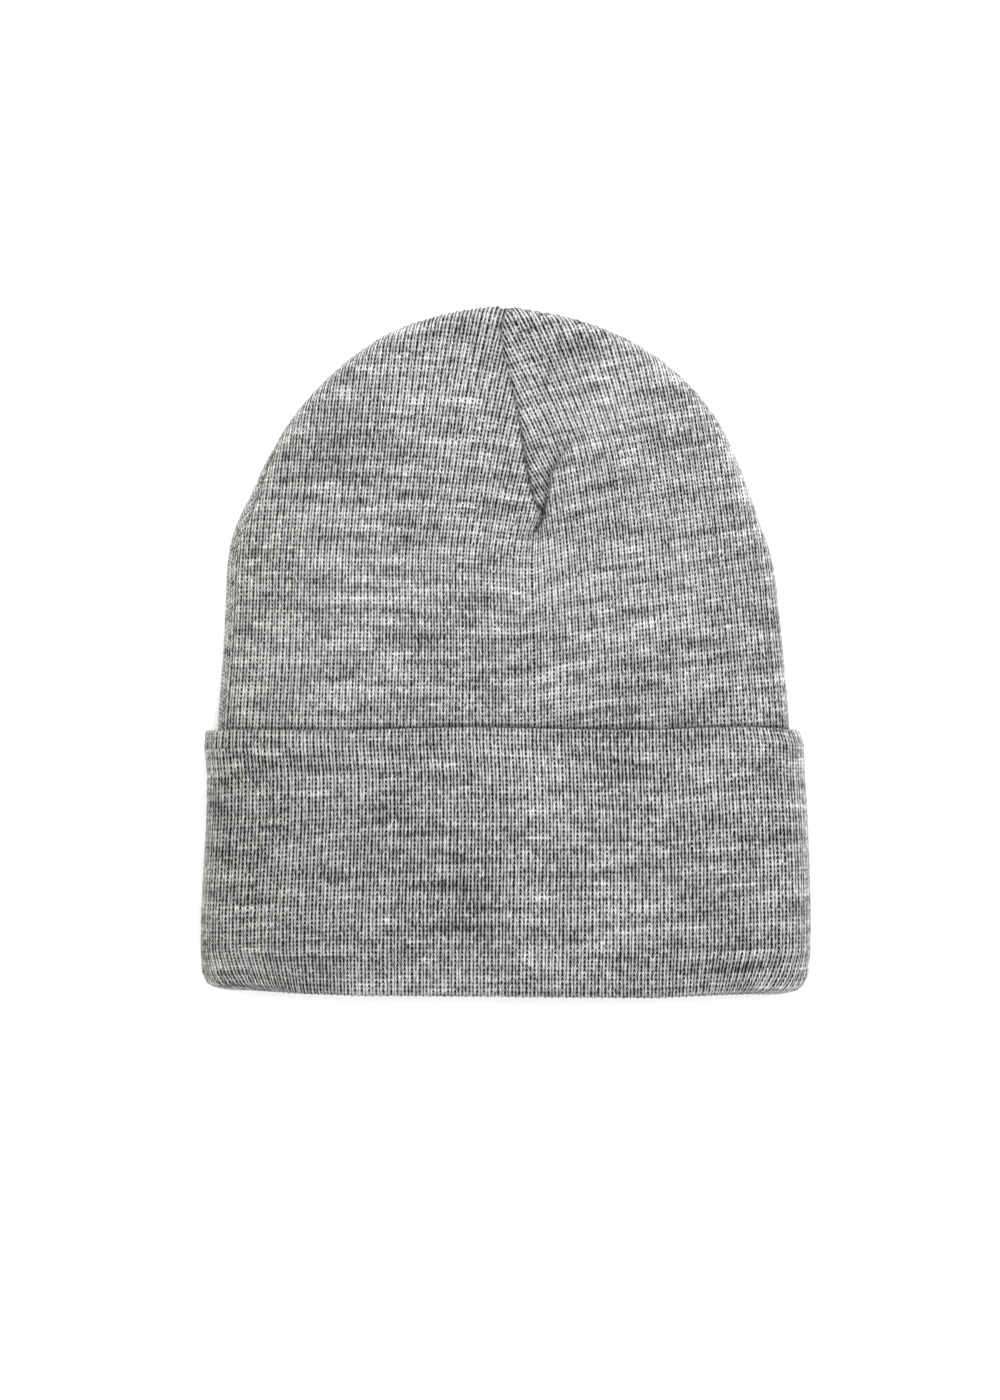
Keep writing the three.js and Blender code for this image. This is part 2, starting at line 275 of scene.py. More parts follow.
        # every valley's place across at each millimetre up, followed from the hem to past the tip
        share = np.arange(knit["ribs"] + 1) / knit["ribs"]
        left, right = self.edges(self.heights)
        lines = left[:, None] + (right - left)[:, None] * share
        for k in range(waleLean["linesFrom"], len(self.heights) - 1):
            lines[k + 1] = lines[k] + self.lean(lines[k], self.heights[k], side)
        return lines

    def courseLift(self, across, up):
        left, right = self.edges(up)
        climb = mixed(*courses["climb"], smoothStep(*courses["climbRise"], up))
        if self.front:
            start = courses["climbFrom"]
            climb = climb * np.clip((across - start) / (right - start), 0, 1)
        else:
            climb = climb * (1 - np.clip((across - left) / (right - left), 0, 1))
        sag = mixed(*courses["sag"], smoothStep(*courses["sagRise"], up))
        sag = sag * np.exp(-np.abs(across - self.seamAcross(up)) / courses["sagReach"])
        return (climb - sag) * smoothStep(*courses["rise"], up)

    def seamLimit(self, foot):
        # how far past the fold's start the side seams lie
        twist = cap["twist"] * (1 - smoothStep(*cap["twistFall"], foot[:, 1]))
        return quarterFold + np.where(foot[:, 0] < 0, -twist, twist)

    def foldPlace(self, flat, block=20000, tiny=1e-6):
        # how far each flat point lies past the fold's start, its foot there and the way out
        past = np.empty(len(flat))
        foot = np.empty_like(flat)
        way = np.empty_like(flat)
        start = self.foldLine[:-1]
        run = np.diff(self.foldLine, axis=0)
        square = (run**2).sum(1)
        outward = np.stack([-run[:, 1], run[:, 0]], 1) / np.sqrt(square)[:, None]
        for low in range(0, len(flat), block):
            spots = flat[low:low + block]
            toX, toY = spots[:, :1] - start[:, 0], spots[:, 1:] - start[:, 1]
            share = np.clip((toX * run[:, 0] + toY * run[:, 1]) / square, 0, 1)
            gapX, gapY = toX - share * run[:, 0], toY - share * run[:, 1]
            nearest = (gapX**2 + gapY**2).argmin(1)
            row = np.arange(len(spots))
            gap = np.stack([gapX[row, nearest], gapY[row, nearest]], 1)
            size = np.linalg.norm(gap, axis=1)
            outside = (gap * outward[nearest]).sum(1) > 0
            past[low:low + block] = np.where(outside, size, -size)
            foot[low:low + block] = spots - gap
            far = (size > tiny)[:, None]
            way[low:low + block] = np.where(far, gap / np.maximum(size, tiny)[:, None], outward[nearest])
        return past, foot, way

    def relief(self, across, up, inside):
        # how far the ply stands above its plane, not counting the stitches
        offSeam = across - self.seamAcross(up)
        width = np.where(offSeam < 0, dart["leftWidth"], dart["rightWidth"])
        if not self.front:
            width = dart["leftWidth"]
        dip = dart["depth"] * bell(offSeam, width) + dart["softDepth"] * bell(offSeam, dart["softWidth"])
        dip = dip * smoothStep(self.endUp - dart["footBelow"], self.endUp + dart["footAbove"], up)
        dip = dip * (1 - dart["lessAtFold"] * bell(inside, dart["foldReach"]))
        dip = dip * (1 - dart["lessAtTip"] * smoothStep(*dart["tipRise"], up))
        if not self.front:
            return -dart["backShare"] * dip
        puff = smoothStep(*cap["dropRise"], up) * cap["puff"]
        puff = puff * (1 - np.exp(-inside / cap["puffReach"]))
        puckerAcross, puckerUp = dart["puckerAt"]
        pucker = bell(np.hypot(across - puckerAcross, up - puckerUp), dart["puckerReach"])
        offTuck = across - self.tuckAcross(up)
        flap = tuck["lipHeight"] * bell(offTuck - tuck["lipReach"], tuck["lipWidth"])
        width = np.where(offTuck < 0, tuck["leftWidth"], tuck["rightWidth"])
        flap = flap - tuck["depth"] * bell(offTuck, width)
        flap = flap * window(up, tuck["rise"], tuck["fall"])
        return puff + dart["puckerHeight"] * pucker - dip + flap

    def fullness(self, foot):
        # how far the fold bulges past its half circle, with the tip's swelling and its nick
        onRight = (foot[:, 0] > 0) == self.front
        full = np.where(onRight, cap["fullnessRight"], cap["fullnessLeft"])
        full = full * (1 - bell(foot[:, 0], cap["slimTip"]))
        atTip = smoothStep(*cap["tipRise"], foot[:, 1])
        across = foot[:, 0] * (1 if self.front else -1)
        full = full + cap["tipHeight"] * atTip * bell(across - cap["tipAcross"], cap["tipReach"])
        return full - cap["nickDepth"] * atTip * bell(across - cap["nickAcross"], cap["nickReach"])

    def place(self, flat, inset, push, seamPush):
        # rolls flat points over the folds; push is the stitches' own relief, along the way out
        past, foot, way = self.foldPlace(flat)
        limit = self.seamLimit(foot)
        cut = (past >= limit) & (flat[:, 1] > cap["seamFrom"])
        sideDart = smoothStep(*dart["sideRise"], foot[:, 1])
        toSeam = np.where(sideDart > 0, np.maximum(limit - past, 0), farOff) + farOff * (1 - sideDart)
        push = np.where(cut, seamPush, push) - dart["sideDepth"] * bell(toSeam, dart["sideWidth"])
        past = np.minimum(past, limit)
        turn = np.maximum(past, 0) / foldRadius
        radius = foldRadius - inset + push
        rolled = (past > 0)[:, None]
        out = radius * np.sin(turn) + self.fullness(foot) * np.sin(turn) ** 2
        plan = np.where(rolled, foot + way * out[:, None], flat)
        base = np.where(rolled, foot, flat)
        middle = mixed(stackMiddle, foldRadius, smoothStep(*cap["dropRise"], base[:, 1]))
        lift = self.relief(base[:, 0], base[:, 1], np.maximum(-past, 0)) * np.maximum(np.cos(turn), 0)
        z = radius * np.cos(turn) + lift
        if self.front:
            return np.stack([plan[:, 0], plan[:, 1], middle + z], 1), cut, toSeam, past
        return np.stack([-plan[:, 0], plan[:, 1], middle - z], 1), cut, toSeam, past


# Knitting: grids with some columns to a rib and some rows to a course


def stitchRelief(valley, phase):
    # a course's yarn crests at phase 0.5
    rib = (1 - valley ** knit["roundness"]) * (1 - knit["groove"] * bell(valley, knit["grooveReach"]))
    hollow = 0.5 + 0.5 * np.cos(2 * np.pi * phase)
    hole = knit["holeDepth"] * bell(valley - 1, knit["holeReach"])
    leg = knit["legDepth"] * mixed(knit["legInValley"], 1, rib)
    return -knit["ribDepth"] * (1 - rib) - hollow * (leg + hole)


def legShift(valley):
    # how many courses lower the yarn is there than on the rib's middle
    return knit["legShear"] * smoothStep(*knit["legRise"], valley)


def slowWander(count, length, rng, size):
    draw = rng.normal(0, size, int(count / length) + 3)
    return np.interp(np.arange(count) / length, np.arange(len(draw)), draw)


class Lattice:
    # the grid's own numbering: each point's rib, its place within the rib and its course

    def __init__(self, first, last, perRib, rows, stitched, seed):
        self.columns = (last - first) * perRib + 1
        self.rows = len(rows)
        column, row = (part.ravel() for part in np.meshgrid(np.arange(self.columns), np.arange(self.rows)))
        self.wale = first + column / perRib
        self.rib = np.minimum(column // perRib, last - first - 1)
        self.within = column / perRib - self.rib
        self.valley = np.abs(2 * self.within - 1)
        inner = (column > 0) & (column < self.columns - 1)
        self.row = row
        self.course = rows[row]
        self.stitched = stitched[row]
        # painted shading as a factor on the colour, 1 where none is painted
        self.shade = np.ones(len(row))
        rng = np.random.default_rng(seed)
        wander = np.stack([
            slowWander(self.rows, knit["wobbleRows"], rng, knit["wobble"]) for k in range(last - first + 1)])
        self.wander = mixed(wander[self.rib, row], wander[self.rib + 1, row], self.within) * inner
        together = knit["unevenRows"]
        uneven = rng.normal(0, knit["unevenness"], (self.rows // together + 1, last - first))
        self.uneven = uneven[row // together, self.rib] * (1 - self.valley)

    def push(self):
        return stitchRelief(self.valley, self.course % 1) * (1 + self.uneven) * self.stitched


def makeSwatch(name, lattice, places, waleShift, dropped, inward=False):
    # a grid primitive whose points are then laid out as the knitting
    bpy.ops.object.select_all(action="DESELECT")
    bpy.ops.mesh.primitive_grid_add(
        x_subdivisions=lattice.columns - 1, y_subdivisions=lattice.rows - 1, calc_uvs=True)
    swatch = bpy.context.object
    mesh = swatch.data
    swatch.name = mesh.name = name
    mesh.uv_layers[0].name = "OFBake"
    places = (places + np.array([0, bottomY, 0])) * mm
    mesh.vertices.foreach_set("co", places.astype(np.float32).ravel())
    # each point's wale, course and painted shading go into the stitch attribute
    stitches = np.stack([lattice.wale + waleShift, lattice.course, lattice.shade], 1)
    mesh.attributes.new("stitch", "FLOAT_VECTOR", "POINT").data.foreach_set(
        "vector", stitches.astype(np.float32).ravel())
    mesh.update()
    # faces whose points are all dropped go
    corners = np.empty(len(mesh.polygons) * 4, np.int32)
    mesh.polygons.foreach_get("vertices", corners)
    bpy.ops.object.mode_set(mode="EDIT")
    bpy.ops.mesh.select_mode(type="FACE")
    bpy.ops.mesh.select_all(action="DESELECT")
    bpy.ops.object.mode_set(mode="OBJECT")
    mesh.polygons.foreach_set("select", dropped[corners.reshape(-1, 4)].all(1))
    bpy.ops.object.mode_set(mode="EDIT")
    bpy.ops.mesh.delete(type="FACE")
    bpy.ops.mesh.select_all(action="SELECT")
    bpy.ops.mesh.remove_doubles(threshold=1e-7)
    if inward:
        bpy.ops.mesh.flip_normals()
    bpy.ops.object.mode_set(mode="OBJECT")
    bpy.ops.object.shade_smooth()
    return swatch


def finishPiece(piece, material, node):
    piece.data.materials.append(material)
    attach(piece, "root")
    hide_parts(node)
    print(piece.name, "has", sum(len(p.vertices) - 2 for p in piece.data.polygons), "triangles")


# How much shade is painted onto the cloth along the dart, at its hook, its crumpled end, its tuck and its
# tip, at the side seams and under the cuff's edge, and how much painted highlight lightens the folds
shadow = {
    "seam": 0.6, "seamWidth": 0.6, "paler": 0.6, "palerRise": (192.0, 206.0), "palerFall": (214.0, 222.0),
    "side": 0.5, "sideWidth": 0.5,
    "tip": 0.15, "tipAcross": -1.6, "tipWidth": 2.2, "tipRise": (213.0, 219.0),
    "tuck": 0.55, "tuckAcross": -0.4, "tuckLeftWidth": 1.6, "tuckRightWidth": 0.9,
    "tuckRise": (158.0, 163.0), "tuckFall": (176.0, 186.0),
    "hook": 0.6, "hookAcross": 0.3, "hookWidth": 1.3, "hookRise": (152.0, 155.0), "hookFall": (160.0, 163.0),
    "crumple": 0.1, "crumpleAt": (6.8, 153.5), "crumpleReach": 4.5,
    "edge": 0.75, "edgeReach": 1.5, "edgeAtLeft": 0.4, "edgeRise": (-95.0, -25.0),
    "foldLight": 0.24, "foldPast": 4.2, "foldWidth": 2.8, "foldRise": (120.0, 160.0),
}


def goreShade(ply, across, up, past, toSeam):
    # painted shade beside the dart and side seams, at the tip, tuck, hook and crumpled end and under the
    # cuff's edge, and a painted highlight on the folds, as one factor on the colour
    offSeam = np.where(up > ply.endUp, across - ply.seamAcross(up), farOff)
    seam = shadow["seam"] * (1 - shadow["paler"] * window(up, shadow["palerRise"], shadow["palerFall"]))
    shade = 1 - seam * bell(offSeam, shadow["seamWidth"])
    shade *= 1 - shadow["side"] * bell(toSeam, shadow["sideWidth"])
    atTip = smoothStep(*shadow["tipRise"], up) * bell(offSeam - shadow["tipAcross"], shadow["tipWidth"])
    shade *= 1 - shadow["tip"] * atTip
    if ply.front:
        offTuck = across - ply.tuckAcross(up) - shadow["tuckAcross"]
        width = np.where(offTuck < 0, shadow["tuckLeftWidth"], shadow["tuckRightWidth"])
        inTuck = window(up, shadow["tuckRise"], shadow["tuckFall"])
        shade *= 1 - inTuck * shadow["tuck"] * bell(offTuck, width)
        inHook = window(up, shadow["hookRise"], shadow["hookFall"])
        shade *= 1 - shadow["hook"] * inHook * bell(offSeam - shadow["hookAcross"], shadow["hookWidth"])
        crumpleAcross, crumpleUp = shadow["crumpleAt"]
        fromCrumple = np.hypot(across - crumpleAcross, up - crumpleUp)
        shade *= 1 - shadow["crumple"] * bell(fromCrumple, shadow["crumpleReach"])
    onFold = bell(past - shadow["foldPast"], shadow["foldWidth"]) * smoothStep(*shadow["foldRise"], up)
    shade *= 1 + shadow["foldLight"] * onFold
    place = across if ply.front else -across
    # painted shadow on the body just under the cuff's edge, weaker towards the cap's left
    underEdge = 1 - smoothStep(0, shadow["edgeReach"], up - cuffEdgeUp(place))
    underEdge = underEdge * mixed(shadow["edgeAtLeft"], 1, smoothStep(*shadow["edgeRise"], place))
    return shade * (1 - shadow["edge"] * underEdge)


def knitGore(name, ply, part, perRib, perCourse, seed):
    # part of a ply from the hem to the tip: the gore left or right of the dart, or that at the tuck
    first, last = {
        -1: (0, ply.dartWale), 1: (ply.dartWale, knit["ribs"]),
        "tuck": (ply.tuckWale - tuck["ribs"], ply.tuckWale) if ply.front else None,
    }[part]
    pitch = knit["bodyCourse"]
    firstFine, lastFine = math.ceil(knit["fineFrom"] / pitch), int(knit["rowsTo"] / pitch)
    fine = np.arange(firstFine * perCourse, lastFine * perCourse) / perCourse
    coarse = np.arange(cap["hem"], knit["coarseTo"], knit["coarseStep"]) / pitch
    rows = np.concatenate([coarse[:1], coarse, fine])
    stitched = np.concatenate([np.zeros(len(coarse) + 1), np.ones(len(fine))])
    lattice = Lattice(first, last, perRib, rows, stitched, seed)
    level = (lattice.course - legShift(lattice.valley) * lattice.stitched) * pitch
    lines = ply.lines[part]
    rib = first + lattice.rib
    # a point's place across and its height depend on each other, and three rounds settle them
    up = np.maximum(level, cap["hem"])
    for k in range(3):
        height = np.clip(up, 0, len(lines) - 2)
        below = height.astype(int)
        low = mixed(lines[below, rib], lines[below, rib + 1], lattice.within)
        high = mixed(lines[below + 1, rib], lines[below + 1, rib + 1], lattice.within)
        across = mixed(low, high, height - below) + lattice.wander
        up = np.maximum(level, cap["hem"]) + ply.courseLift(across, level)
    low, high = ply.bounds(part, up)
    over = (across <= low) | (across >= high)
    across = np.where(over, np.clip(across, np.minimum(low, high), high), across)
    push = np.where(over, -knit["seamDepth"], lattice.push())
    inset = np.where(lattice.row == 0, cap["wall"], 0)
    places, cut, toSeam, past = ply.place(np.stack([across, up], 1), inset, push, -knit["seamDepth"])
    lattice.shade = goreShade(ply, across, up, past, toSeam)
    return makeSwatch(name, lattice, places, 0 if ply.front else knit["ribs"], over | cut)


def knitLining(name, ply, perRib, rowStep, seed):
    # the ply's inner face, with the ribs seen from behind
    rows = np.arange(cap["hem"], knit["rowsTo"], rowStep) / knit["bodyCourse"]
    lattice = Lattice(0, knit["ribs"], perRib, rows, (rows > rows[0]) * 1.0, seed)
    up = lattice.course * knit["bodyCourse"]
    left, right = ply.edges(up)
    across = mixed(left, right, lattice.wale / knit["ribs"])
    push = knit["liningRib"] * (1 - lattice.valley**2) * lattice.stitched
    places, cut = ply.place(np.stack([across, up], 1), cap["wall"], push, 0.0)[:2]
    return makeSwatch(name, lattice, places, 0 if ply.front else knit["ribs"], cut, inward=True)


# The cuff, turned up outside the body

cuff = {
    "gap": 0.3, "wall": 2.6, "turnRadius": 2.75, "turnDrop": 1.6,
    "edge": 89.2, "edgeRadius": 1.3, "insideTo": 76.0, "innerEnd": 30.0,
    # half widths: height, left, right
    "sides": [
        (0.0, 93.4, 94.2), (1.3, 96.5, 96.9), (2.8, 98.8, 98.8), (6.6, 100.3, 100.6),
        (15.4, 100.6, 101.2), (28.0, 100.5, 101.3), (44.0, 99.6, 101.0), (60.0, 98.7, 100.3),
        (74.0, 98.5, 99.4), (84.0, 99.4, 99.2), (89.2, 99.0, 97.4),
    ],
    # the waver of its top edge and bottom turn: across, edge height, turn height
    "waver": [
        (-101.0, 88.6, 2.2), (-85.0, 89.1, 3.0), (-66.0, 88.9, 1.7), (-50.0, 88.9, 1.1), (-11.0, 89.9, 0.8),
        (23.0, 89.1, 0.4), (50.0, 88.9, 0.3), (68.0, 89.8, 1.2), (82.0, 89.9, 1.6),
        (90.0, 89.6, 1.4), (94.0, 88.9, 1.3), (101.0, 88.6, 1.2),
    ],
    "turnWaverReach": 24.0, "edgeWaverRise": (36.0, 80.0), "wanderRise": (1.0, 1.3),
    "slant": 2.2, "slantReach": 0.28, "slantFade": 18.0, "edgeShadeRise": (0.45, 0.9),
    "cornerHeight": 8.0, "cornerTop": 84.0, "cornerReach": 24.0,
    "cornerLean": 2.8, "leanHeight": 18.0, "leanReach": 16.0,
    "hemCalmReach": 2.5, "turnCalm": 0.45, "turnCalmReach": 2.5,
}
waverAcross, edgeHeights, turnHeights = np.array(cuff["waver"]).T
sideHeights, leftSides, rightSides = np.array(cuff["sides"]).T


def cuffEdgeUp(across):
    return np.interp(across, waverAcross, edgeHeights)


def cuffSection(run):
    # out from the cuff's inner face, up, and the way out, at a length along the section:
    # down beside the hem, round the bottom turn, up the outside, over the edge and down inside
    turn, drop, edge = cuff["turnRadius"], cuff["turnDrop"], cuff["edgeRadius"]
    mean = math.sqrt((turn**2 + drop**2) / 2)
    hemSide = -turn * 2 + cuff["wall"]
    lengths = [
        cap["hem"] - drop, math.pi * mean, cuff["edge"] - edge - drop, math.pi * edge, cuff["innerEnd"]]
    starts = np.concatenate([[0], np.cumsum(lengths)])
    piece = np.clip(np.searchsorted(starts, run, side="right") - 1, 0, 4)
    along = run - starts[piece]
    bottomTurn, edgeTurn = along / mean, along / edge
    zero, one = np.zeros_like(run), np.ones_like(run)
    out = np.choose(piece, [
        hemSide * one, cuff["wall"] - turn - turn * np.cos(bottomTurn), cuff["wall"] * one,
        edge + edge * np.cos(edgeTurn), zero])
    up = np.choose(piece, [
        cap["hem"] - along, drop - drop * np.sin(bottomTurn), drop + along,
        cuff["edge"] - edge + edge * np.sin(edgeTurn), cuff["edge"] - edge - along])
    steep = np.hypot(np.cos(bottomTurn) / turn, np.sin(bottomTurn) / drop)
    wayOut = np.choose(piece, [-one, -np.cos(bottomTurn) / turn / steep, one, np.cos(edgeTurn), -one])
    wayUp = np.choose(piece, [zero, -np.sin(bottomTurn) / drop / steep, zero, np.sin(edgeTurn), zero])
    return out, up, wayOut, wayUp, starts


def knitCuff(name, front, first, last, perRib, perCourse, seed):
    pitch = knit["cuffCourse"]
    starts = cuffSection(np.zeros(1))[4]
    length = starts[4] + cuff["edge"] - cuff["edgeRadius"] - cuff["insideTo"]
    count = round(length / pitch)
    rows = np.arange(count * perCourse + 1) / perCourse
    lattice = Lattice(first, last, perRib, rows, np.ones(len(rows)), seed)
    # share runs from 0 at one side's middle over this face to 1 at the other's
    share = lattice.wale / knit["ribs"]
    reach = cuff["slantReach"]
    climb = cuff["slant"] * (smoothStep(1 - reach, 1, share) - smoothStep(reach, 0, share))
    if not front:
        climb = cuff["slant"] * (1 - 2 * share)
    run = (lattice.course + legShift(lattice.valley)) * length / count
    fade = window(run, (starts[2], starts[2] + cuff["slantFade"]), (starts[3] - cuff["slantFade"], starts[3]))
    run = np.clip(run + climb * fade, 0, length)
    out, up, wayOut, wayUp, starts = cuffSection(run)
    push = lattice.push() * smoothStep(0, cuff["hemCalmReach"], run)
    push = push * (1 - cuff["turnCalm"] * bell(run - (starts[1] + starts[2]) / 2, cuff["turnCalmReach"]))
    out, height = out + wayOut * push, up + wayUp * push
    # round the ring; the corners' own drawing in is left out here
    inner = foldRadius + cuff["gap"]
    steady = np.clip(up, cuff["cornerHeight"], cuff["cornerTop"])
    steadySides = [np.interp(steady, sideHeights, sides) for sides in (leftSides, rightSides)]
    actualSides = [np.interp(up, sideHeights, sides) for sides in (leftSides, rightSides)]
    left, right = (side - cuff["wall"] - inner for side in steadySides)
    leftCorner, rightCorner = (steadySides[k] - actualSides[k] for k in range(2))
    if not front:
        left, right = right, left
        leftCorner, rightCorner = rightCorner, leftCorner
    bend = math.pi / 2 * (inner + cuff["wall"])
    bend = bend / (2 * bend + 2 * np.mean(leftSides) - 2 * cuff["wall"] - 2 * inner)
    quarter = np.where(share < 0.5, share, 1 - share) / bend
    turn = np.clip(quarter, 0, 1) * math.pi / 2
    outwards = np.cos(turn) * np.where(share < 0.5, -1, 1)
    centre = mixed(-left, right, np.clip((share - bend) / (1 - 2 * bend), 0, 1))
    radius = inner + out
    x = centre + radius * outwards + lattice.wander * smoothStep(*cuff["wanderRise"], quarter)
    # only the wales near a corner draw in with it, and lean towards it
    fromLeft = share * 2 * np.mean(leftSides)
    fromRight = (1 - share) * 2 * np.mean(rightSides)
    x = x + leftCorner * bell(fromLeft, cuff["cornerReach"])
    x = x - rightCorner * bell(fromRight, cuff["cornerReach"])
    leaning = cuff["cornerLean"] * (1 - smoothStep(0, cuff["leanHeight"], up))
    for side, away in ((1, fromLeft / cuff["leanReach"]), (-1, fromRight / cuff["leanReach"])):
        x = x + side * leaning * away * np.exp((1 - away**2) / 2)
    z = radius * np.sin(turn)
    if not front:
        x, z = -x, -z
    raised = (cuffEdgeUp(x) - cuff["edge"]) * smoothStep(*cuff["edgeWaverRise"], up)
    lowered = np.interp(x, waverAcross, turnHeights) * (1 - smoothStep(0, cuff["turnWaverReach"], up))
    overEdge = (run - starts[3]) / (starts[4] - starts[3])
    # painted shade where the cuff rolls over its top edge and runs down inside
    lattice.shade = 1 - shadow["edge"] * smoothStep(*cuff["edgeShadeRise"], overEdge)
    places = np.stack([x, height + raised + lowered, stackMiddle + z], 1)
    return makeSwatch(name, lattice, places, 0 if front else knit["ribs"], np.zeros(len(x), bool))


# Materials


class Value:
    # one number in a shader; an expression on it adds its Math nodes

    def __init__(self, shader, socket):
        self.shader, self.socket = shader, socket

    def maths(self, operation, *others):
        return self.shader.add("ShaderNodeMath", {"operation": operation}, [self, *others])

    def __add__(self, other):
        return self.maths("ADD", other)

    def __sub__(self, other):
        return self.maths("SUBTRACT", other)

    def __rsub__(self, other):
        return self.shader.add("ShaderNodeMath", {"operation": "SUBTRACT"}, [other, self])

    def __mul__(self, other):
        return self.maths("MULTIPLY", other)

    __radd__ = __add__
    __rmul__ = __mul__


class Shader:
    def __init__(self, name):
        self.material = bpy.data.materials.new(name)
        self.material.use_nodes = True
        self.tree = self.material.node_tree
        self.tree.nodes.clear()

    def add(self, kind, settings, inputs, output=0):
        node = self.tree.nodes.new(kind)
        for key, value in settings.items():
            setattr(node, key, value)
        for key, value in inputs.items() if isinstance(inputs, dict) else enumerate(inputs):
            if isinstance(value, Value):
                self.tree.links.new(value.socket, node.inputs[key])
            else:
                node.inputs[key].default_value = value
        return Value(self, node.outputs[output]) if node.outputs else node

    def noise(self, x, y, grain):
        # evenly spread about 0; grain holds the rate and start on x and on y, the detail and roughness
        (xRate, xStart), (yRate, yStart), detail, roughness = grain
        x = x.maths("MULTIPLY_ADD", xRate, xStart)
        y = y.maths("MULTIPLY_ADD", yRate, yStart)
        spot = self.add("ShaderNodeCombineXYZ", {}, [x, y, 0.0])
        return self.add(
            "ShaderNodeTexNoise", {"noise_dimensions": "2D"},
            {"Vector": spot, "Scale": 1.0, "Detail": detail, "Roughness": roughness}) - 0.5

    def ramp(self, value, low, high, to=(0.0, 1.0)):
        return self.add(
            "ShaderNodeMapRange", {"interpolation_type": "SMOOTHSTEP"},
            {"Value": value, "From Min": low, "From Max": high, "To Min": to[0], "To Max": to[1]})

    def colours(self, factor, a, b):
        return self.add("ShaderNodeMix", {"data_type": "RGBA"}, {0: factor, 6: a, 7: b}, 2)


wool = {
    # the yarn's darkest and lightest colours, and a duller, warmer light colour painted as warm shade on the
    # left
    "dark": (0.006, 0.006, 0.006, 1), "light": (0.880, 0.882, 0.880, 1), "paintedWarmShade": (0.828, 0.833, 0.790, 1),
    "paintedWarmFall": (-0.100, -0.030), "leftRise": (-0.105, 0.0), "lowShadeReach": 0.09,
    "marl": 0.8, "marlGrain": ((0.09, 0.0), (0.42, 0.0), 3.0, 0.57),
    "strands": 0.3, "strandGrain": ((0.3, 0.0), (0.83, 0.0), 2.0, 0.6),
    "mottle": 0.3, "mottleGrain": ((0.04, 17.0), (0.045, 0.0), 2.0, 0.6),
    "fleck": 0.32, "fleckGrain": ((0.13, 43.0), (0.4, 0.0), 3.0, 0.65), "fleckRise": (0.08, 0.26),
    "stitchVariety": 0.72, "stitchGrain": ((2.1, 0.0), (3.7, 11.0), 0.0, 0.5),
    "fibre": 1.35, "fibreGrain": ((3.5, 0.0), (6.0, 0.0), 3.0, 0.75),
    # the stitches' painted light and shade: legs lit along their crests, a shaded groove and shaded holes
    "legs": 0.98, "legsFrom": 0.3, "ribMiddle": 0.45, "legRise": (0.0, 0.4), "legFall": (0.6, 1.0),
    "legDrop": 0.56,
    "crest": 0.3, "centre": 0.2, "centreFall": (0.0, 0.35), "centreOnCrest": 0.55,
    "hole": 1.0, "holeRise": (0.36, 0.8), "holeApart": (0.22, 0.7),
    "roughness": 0.9, "specular": 0.1, "sheen": 0.1, "sheenRoughness": 0.45,
    "bump": 0.6, "bumpDistance": 0.0003, "crestBump": 0.6, "fibreBump": 0.8,
}

# What differs between the body and the cuff, whose wales are seen the other way up, with their painted shade
# towards the cap's left and their own lower end
crownTone = {"level": -0.027, "contrast": 0.88, "legSide": 1, "left": 0.92, "low": 0.94, "lowest": -0.025}
cuffTone = {"level": -0.084, "contrast": 0.8, "legSide": -1, "left": 0.87, "low": 0.92, "lowest": -0.114}


